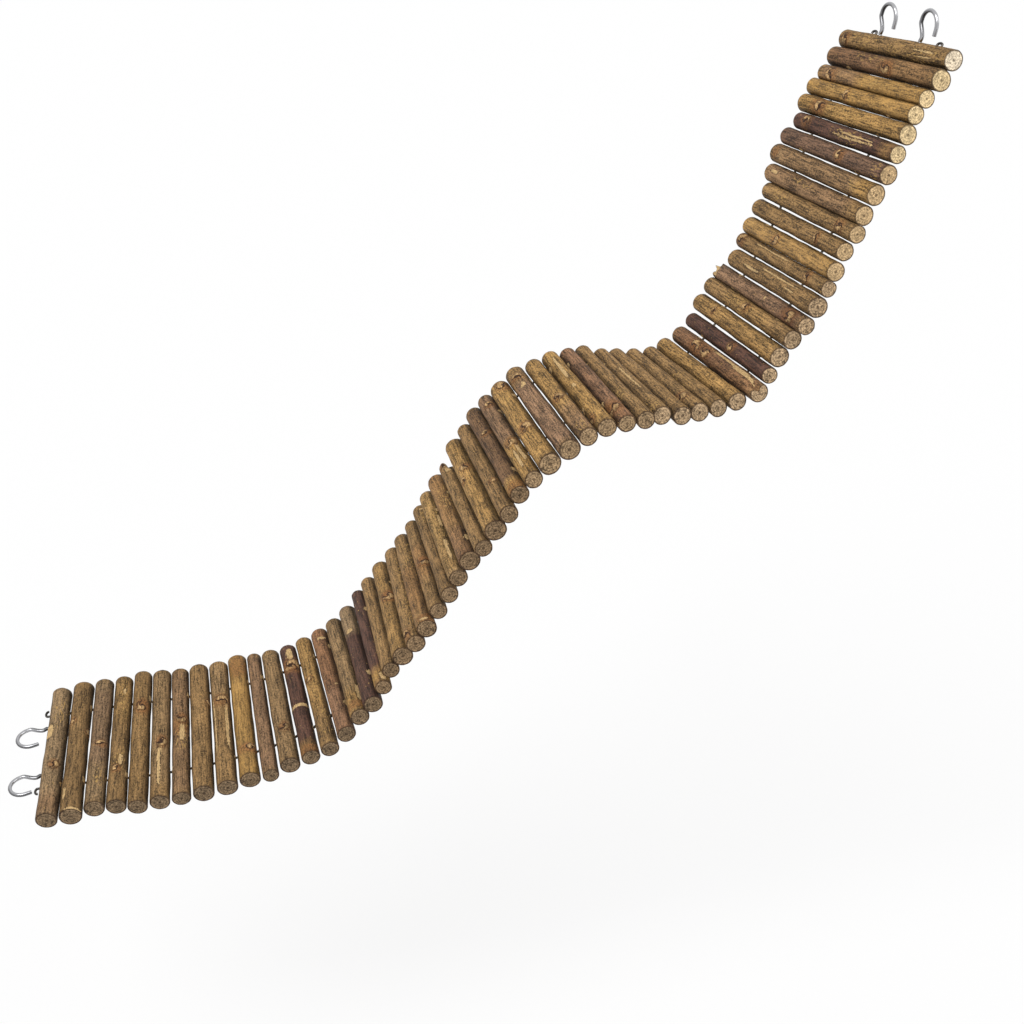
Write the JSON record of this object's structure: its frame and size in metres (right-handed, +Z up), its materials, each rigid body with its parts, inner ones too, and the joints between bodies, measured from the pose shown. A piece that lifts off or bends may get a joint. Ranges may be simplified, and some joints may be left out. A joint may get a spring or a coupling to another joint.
{
  "type": "bendable pet bridge",
  "caption": "Bendable ladder bridge for a small pet: bark-covered branch sticks side by side on two bendable wires, with open screw hooks at both ends.",
  "frame": {"origin": "midway between the inner tops of the two upper hooks' bows, where the bridge hangs", "axes": "+X the way the deck climbs, from the lower end towards the upper one; +Y from the front ends of the sticks to the back; +Z up"},
  "size_m": [0.4454, 0.1984, 0.3524],
  "materials": {
    "bark_olive": "olive brown bark, matt, with small knots",
    "bark_golden": "golden ochre bark, matt, partly peeled",
    "bark_purple": "dark purple brown bark, matt",
    "bark_red": "red brown bark, matt",
    "bark_grey": "grey brown knobbly bark, matt",
    "hook_steel": "bright zinc plated wire",
    "wire_steel": "dull drawn steel wire"
  },
  "bodies": {
    "lower_end": {"stick_01": "bark_grey", "hook_lower_front": "hook_steel", "hook_lower_back": "hook_steel"},
    "stick_02": {"stick_02": "bark_olive"},
    "stick_03": {"stick_03": "bark_olive"},
    "stick_04": {"stick_04": "bark_olive"},
    "stick_05": {"stick_05": "bark_olive"},
    "stick_06": {"stick_06": "bark_olive"},
    "stick_07": {"stick_07": "bark_olive"},
    "stick_08": {"stick_08": "bark_olive"},
    "stick_09": {"stick_09": "bark_olive"},
    "stick_10": {"stick_10": "bark_golden"},
    "stick_11": {"stick_11": "bark_olive"},
    "stick_12": {"stick_12": "bark_olive"},
    "stick_13": {"stick_13": "bark_purple"},
    "stick_14": {"stick_14": "bark_olive"},
    "stick_15": {"stick_15": "bark_red"},
    "stick_16": {"stick_16": "bark_olive"},
    "stick_17": {"stick_17": "bark_purple"},
    "stick_18_19": {"stick_18_19": "bark_olive"},
    "stick_20": {"stick_20": "bark_olive"},
    "stick_21_22": {"stick_21_22": "bark_olive"},
    "stick_23": {"stick_23": "bark_olive"},
    "stick_24_25": {"stick_24_25": "bark_grey"},
    "stick_26": {"stick_26": "bark_red"},
    "stick_27": {"stick_27": "bark_olive"},
    "stick_28": {"stick_28": "bark_olive"},
    "stick_29": {"stick_29": "bark_olive"},
    "stick_30": {"stick_30": "bark_olive"},
    "stick_31": {"stick_31": "bark_olive"},
    "stick_32": {"stick_32": "bark_olive"},
    "stick_33": {"stick_33": "bark_olive"},
    "stick_34": {"stick_34": "bark_olive"},
    "stick_35": {"stick_35": "bark_olive"},
    "stick_36": {"stick_36": "bark_red"},
    "stick_37": {"stick_37": "bark_olive"},
    "stick_38": {"stick_38": "bark_olive"},
    "stick_39": {"stick_39": "bark_olive"},
    "stick_40": {"stick_40": "bark_olive"},
    "stick_41": {"stick_41": "bark_olive"},
    "stick_42": {"stick_42": "bark_olive"},
    "stick_43": {"stick_43": "bark_olive"},
    "stick_44": {"stick_44": "bark_purple"},
    "stick_45": {"stick_45": "bark_olive"},
    "stick_46_47": {"stick_46_47": "bark_olive"},
    "stick_48": {"stick_48": "bark_olive"},
    "stick_49_50": {"stick_49_50": "bark_golden"},
    "stick_51": {"stick_51": "bark_olive"},
    "stick_52_53": {"stick_52_53": "bark_olive"},
    "stick_54": {"stick_54": "bark_olive"},
    "stick_55": {"stick_55": "bark_purple"},
    "stick_56": {"stick_56": "bark_purple"},
    "stick_57": {"stick_57": "bark_olive"},
    "stick_58_59": {"stick_58_59": "bark_golden"},
    "stick_60": {"stick_60": "bark_olive"},
    "upper_end": {"stick_61": "bark_olive", "hook_upper_front": "hook_steel", "hook_upper_back": "hook_steel", "wire_front": "wire_steel", "wire_back": "wire_steel"}
  },
  "joints": [
    {"name": "bend_60_61", "type": "hinge", "parent": "upper_end", "child": "stick_60", "pos_m": [-0.0057, 0.00162, -0.02276], "axis": [-0.3532, 0.9327, -0.0729], "range_deg": [-18.33, 21.67], "deforming": ["wire_front", "wire_back"]},
    {"name": "bend_59_60", "type": "hinge", "parent": "stick_60", "child": "stick_58_59", "pos_m": [-0.0114, -0.00116, -0.03077], "axis": [-0.356, 0.932, -0.0676], "range_deg": [-18.37, 21.63]},
    {"name": "bend_57_58", "type": "hinge", "parent": "stick_58_59", "child": "stick_57", "pos_m": [-0.02034, -0.00555, -0.04458], "axis": [-0.3572, 0.9323, -0.0569], "range_deg": [-18.06, 21.94]},
    {"name": "bend_56_57", "type": "hinge", "parent": "stick_57", "child": "stick_56", "pos_m": [-0.02498, -0.00781, -0.05253], "axis": [-0.3529, 0.9343, -0.0503], "range_deg": [-17.3, 22.7]},
    {"name": "bend_55_56", "type": "hinge", "parent": "stick_56", "child": "stick_55", "pos_m": [-0.02911, -0.00979, -0.06038], "axis": [-0.3462, 0.9372, -0.043], "range_deg": [-16.77, 23.23]},
    {"name": "bend_54_55", "type": "hinge", "parent": "stick_55", "child": "stick_54", "pos_m": [-0.03297, -0.0116, -0.06874], "axis": [0.3389, -0.9401, 0.0371], "range_deg": [-22.73, 17.27]},
    {"name": "bend_53_54", "type": "hinge", "parent": "stick_54", "child": "stick_52_53", "pos_m": [-0.03675, -0.01333, -0.07798], "axis": [0.3319, -0.9427, 0.0341], "range_deg": [-21.21, 18.79]},
    {"name": "bend_51_52", "type": "hinge", "parent": "stick_52_53", "child": "stick_51", "pos_m": [-0.0434, -0.01625, -0.09466], "axis": [0.3166, -0.9477, 0.0393], "range_deg": [-17.28, 22.72]},
    {"name": "bend_50_51", "type": "hinge", "parent": "stick_51", "child": "stick_49_50", "pos_m": [-0.04737, -0.01793, -0.10319], "axis": [0.3096, -0.9499, 0.0438], "range_deg": [-16.94, 23.06]},
    {"name": "bend_48_49", "type": "hinge", "parent": "stick_49_50", "child": "stick_48", "pos_m": [-0.05556, -0.02128, -0.11801], "axis": [0.3021, -0.9522, 0.045], "range_deg": [-19.75, 20.25]},
    {"name": "bend_47_48", "type": "hinge", "parent": "stick_48", "child": "stick_46_47", "pos_m": [-0.06073, -0.02334, -0.12684], "axis": [-0.3013, 0.9526, -0.0419], "range_deg": [-19.24, 20.76]},
    {"name": "bend_45_46", "type": "hinge", "parent": "stick_46_47", "child": "stick_45", "pos_m": [-0.06932, -0.0267, -0.142], "axis": [-0.3029, 0.9523, -0.038], "range_deg": [-21.8, 18.2]},
    {"name": "bend_44_45", "type": "hinge", "parent": "stick_45", "child": "stick_44", "pos_m": [-0.07452, -0.0287, -0.15057], "axis": [-0.308, 0.9506, -0.0393], "range_deg": [-27.33, 12.67]},
    {"name": "bend_43_44", "type": "hinge", "parent": "stick_44", "child": "stick_43", "pos_m": [-0.07984, -0.0307, -0.15726], "axis": [-0.3113, 0.9494, -0.0412], "range_deg": [-31.67, 8.33]},
    {"name": "bend_42_43", "type": "hinge", "parent": "stick_43", "child": "stick_42", "pos_m": [-0.0874, -0.03345, -0.16354], "axis": [-0.3062, 0.9508, -0.048], "range_deg": [-35.12, 4.88]},
    {"name": "bend_41_42", "type": "hinge", "parent": "stick_42", "child": "stick_41", "pos_m": [-0.09559, -0.03627, -0.16721], "axis": [0.3008, -0.9523, 0.0517], "range_deg": [-6.07, 33.93]},
    {"name": "bend_40_41", "type": "hinge", "parent": "stick_41", "child": "stick_40", "pos_m": [-0.10405, -0.03902, -0.16862], "axis": [0.2955, -0.9541, 0.0486], "range_deg": [-11.14, 28.86]},
    {"name": "bend_39_40", "type": "hinge", "parent": "stick_40", "child": "stick_39", "pos_m": [-0.1129, -0.04176, -0.16864], "axis": [0.2888, -0.9564, 0.043], "range_deg": [-13.32, 26.68]},
    {"name": "bend_38_39", "type": "hinge", "parent": "stick_39", "child": "stick_38", "pos_m": [-0.12176, -0.04439, -0.16759], "axis": [0.2813, -0.959, 0.0344], "range_deg": [-16.48, 23.52]},
    {"name": "bend_37_38", "type": "hinge", "parent": "stick_38", "child": "stick_37", "pos_m": [-0.13068, -0.04695, -0.16595], "axis": [0.2768, -0.9608, 0.0164], "range_deg": [-22.75, 17.25]},
    {"name": "bend_36_37", "type": "hinge", "parent": "stick_37", "child": "stick_36", "pos_m": [-0.13953, -0.04947, -0.16478], "axis": [-0.2756, 0.9613, 0], "range_deg": [-11.75, 28.25]},
    {"name": "bend_35_36", "type": "hinge", "parent": "stick_36", "child": "stick_35", "pos_m": [-0.14817, -0.05195, -0.16494], "axis": [-0.2721, 0.9623, 0.003], "range_deg": [-8.23, 31.77]},
    {"name": "bend_34_35", "type": "hinge", "parent": "stick_35", "child": "stick_34", "pos_m": [-0.1569, -0.05441, -0.16699], "axis": [-0.2663, 0.9639, 0.0014], "range_deg": [-6.5, 33.5]},
    {"name": "bend_33_34", "type": "hinge", "parent": "stick_34", "child": "stick_33", "pos_m": [-0.16508, -0.05667, -0.17118], "axis": [-0.2588, 0.9659, 0], "range_deg": [-9.26, 30.74]},
    {"name": "bend_32_33", "type": "hinge", "parent": "stick_33", "child": "stick_32", "pos_m": [-0.1732, -0.05884, -0.17751], "axis": [-0.2508, 0.968, 0.0006], "range_deg": [-13.13, 26.87]},
    {"name": "bend_31_32", "type": "hinge", "parent": "stick_32", "child": "stick_31", "pos_m": [-0.18073, -0.06079, -0.185], "axis": [0.242, -0.9703, -0.0014], "range_deg": [-25.18, 14.82]},
    {"name": "bend_30_31", "type": "hinge", "parent": "stick_31", "child": "stick_30", "pos_m": [-0.18663, -0.06225, -0.192], "axis": [0.2332, -0.9724, -0.0015], "range_deg": [-23.9, 16.1]},
    {"name": "bend_29_30", "type": "hinge", "parent": "stick_30", "child": "stick_29", "pos_m": [-0.1922, -0.06358, -0.19959], "axis": [0.225, -0.9744, 0], "range_deg": [-23.04, 16.96]},
    {"name": "bend_28_29", "type": "hinge", "parent": "stick_29", "child": "stick_28", "pos_m": [-0.1972, -0.06473, -0.20719], "axis": [0.2174, -0.9761, 0.0035], "range_deg": [-22.11, 17.89]},
    {"name": "bend_27_28", "type": "hinge", "parent": "stick_28", "child": "stick_27", "pos_m": [-0.2029, -0.06603, -0.21659], "axis": [0.2102, -0.9776, 0.0084], "range_deg": [-21.02, 18.98]},
    {"name": "bend_26_27", "type": "hinge", "parent": "stick_27", "child": "stick_26", "pos_m": [-0.20756, -0.0671, -0.22458], "axis": [-0.203, 0.9791, -0.0136], "range_deg": [-19.8, 20.2]},
    {"name": "bend_25_26", "type": "hinge", "parent": "stick_26", "child": "stick_24_25", "pos_m": [-0.21285, -0.06833, -0.23375], "axis": [-0.1957, 0.9805, -0.018], "range_deg": [-20.33, 19.67]},
    {"name": "bend_23_24", "type": "hinge", "parent": "stick_24_25", "child": "stick_23", "pos_m": [-0.22177, -0.07037, -0.24865], "axis": [-0.1763, 0.984, -0.0269], "range_deg": [-21.95, 18.05]},
    {"name": "bend_22_23", "type": "hinge", "parent": "stick_23", "child": "stick_21_22", "pos_m": [-0.22681, -0.07148, -0.25628], "axis": [-0.1688, 0.9852, -0.0308], "range_deg": [-22.17, 17.83]},
    {"name": "bend_20_21", "type": "hinge", "parent": "stick_21_22", "child": "stick_20", "pos_m": [-0.23778, -0.07383, -0.27113], "axis": [-0.1731, 0.9844, -0.0309], "range_deg": [-20.71, 19.29]},
    {"name": "bend_19_20", "type": "hinge", "parent": "stick_20", "child": "stick_18_19", "pos_m": [-0.2441, -0.07519, -0.27919], "axis": [0.1842, -0.9825, 0.0274], "range_deg": [-19.85, 20.15]},
    {"name": "bend_17_18", "type": "hinge", "parent": "stick_18_19", "child": "stick_17", "pos_m": [-0.25434, -0.0775, -0.29205], "axis": [0.2123, -0.9771, 0.0117], "range_deg": [-17.6, 22.4]},
    {"name": "bend_16_17", "type": "hinge", "parent": "stick_17", "child": "stick_16", "pos_m": [-0.26072, -0.07898, -0.29932], "axis": [0.2257, -0.9742, -0.0063], "range_deg": [-14.95, 25.05]},
    {"name": "bend_15_16", "type": "hinge", "parent": "stick_16", "child": "stick_15", "pos_m": [-0.26755, -0.08052, -0.30584], "axis": [0.2354, -0.9713, -0.0344], "range_deg": [-13.14, 26.86]},
    {"name": "bend_14_15", "type": "hinge", "parent": "stick_15", "child": "stick_14", "pos_m": [-0.27526, -0.08218, -0.31159], "axis": [0.2364, -0.9693, -0.0674], "range_deg": [-12.89, 27.11]},
    {"name": "bend_13_14", "type": "hinge", "parent": "stick_14", "child": "stick_13", "pos_m": [-0.2834, -0.08385, -0.31617], "axis": [-0.2299, 0.9685, 0.0962], "range_deg": [-25.82, 14.18]},
    {"name": "bend_12_13", "type": "hinge", "parent": "stick_13", "child": "stick_12", "pos_m": [-0.29208, -0.08554, -0.31992], "axis": [-0.2197, 0.9686, 0.1163], "range_deg": [-24.17, 15.83]},
    {"name": "bend_11_12", "type": "hinge", "parent": "stick_12", "child": "stick_11", "pos_m": [-0.30177, -0.08733, -0.32327], "axis": [-0.2074, 0.9694, 0.1311], "range_deg": [-23.33, 16.67]},
    {"name": "bend_10_11", "type": "hinge", "parent": "stick_11", "child": "stick_10", "pos_m": [-0.30974, -0.08874, -0.32548], "axis": [-0.1944, 0.9705, 0.1429], "range_deg": [-22.74, 17.26]},
    {"name": "bend_09_10", "type": "hinge", "parent": "stick_10", "child": "stick_09", "pos_m": [-0.31984, -0.09043, -0.32775], "axis": [-0.1813, 0.9713, 0.1541], "range_deg": [-22.37, 17.63]},
    {"name": "bend_08_09", "type": "hinge", "parent": "stick_09", "child": "stick_08", "pos_m": [-0.33003, -0.09204, -0.32957], "axis": [0.1679, -0.9717, -0.1663], "range_deg": [-17.94, 22.06]},
    {"name": "bend_07_08", "type": "hinge", "parent": "stick_08", "child": "stick_07", "pos_m": [-0.34065, -0.09362, -0.33104], "axis": [0.1546, -0.9718, -0.178], "range_deg": [-18.37, 21.63]},
    {"name": "bend_06_07", "type": "hinge", "parent": "stick_07", "child": "stick_06", "pos_m": [-0.34986, -0.09491, -0.33203], "axis": [0.1425, -0.972, -0.1868], "range_deg": [-18.83, 21.17]},
    {"name": "bend_05_06", "type": "hinge", "parent": "stick_06", "child": "stick_05", "pos_m": [-0.35976, -0.0962, -0.33286], "axis": [0.1328, -0.9727, -0.1903], "range_deg": [-19.32, 20.68]},
    {"name": "bend_04_05", "type": "hinge", "parent": "stick_05", "child": "stick_04", "pos_m": [-0.36962, -0.09741, -0.33356], "axis": [0.127, -0.9742, -0.1866], "range_deg": [-20, 20]},
    {"name": "bend_03_04", "type": "hinge", "parent": "stick_04", "child": "stick_03", "pos_m": [-0.37935, -0.09855, -0.33423], "axis": [-0.1242, 0.9763, 0.1774], "range_deg": [-19.4, 20.6]},
    {"name": "bend_02_03", "type": "hinge", "parent": "stick_03", "child": "stick_02", "pos_m": [-0.38957, -0.0997, -0.33504], "axis": [-0.1223, 0.9785, 0.1659], "range_deg": [-19.16, 20.84]},
    {"name": "bend_01_02", "type": "hinge", "parent": "stick_02", "child": "lower_end", "pos_m": [-0.40053, -0.1009, -0.33607], "axis": [-0.1195, 0.9806, 0.1556], "range_deg": [-19.29, 20.71]}
  ]
}
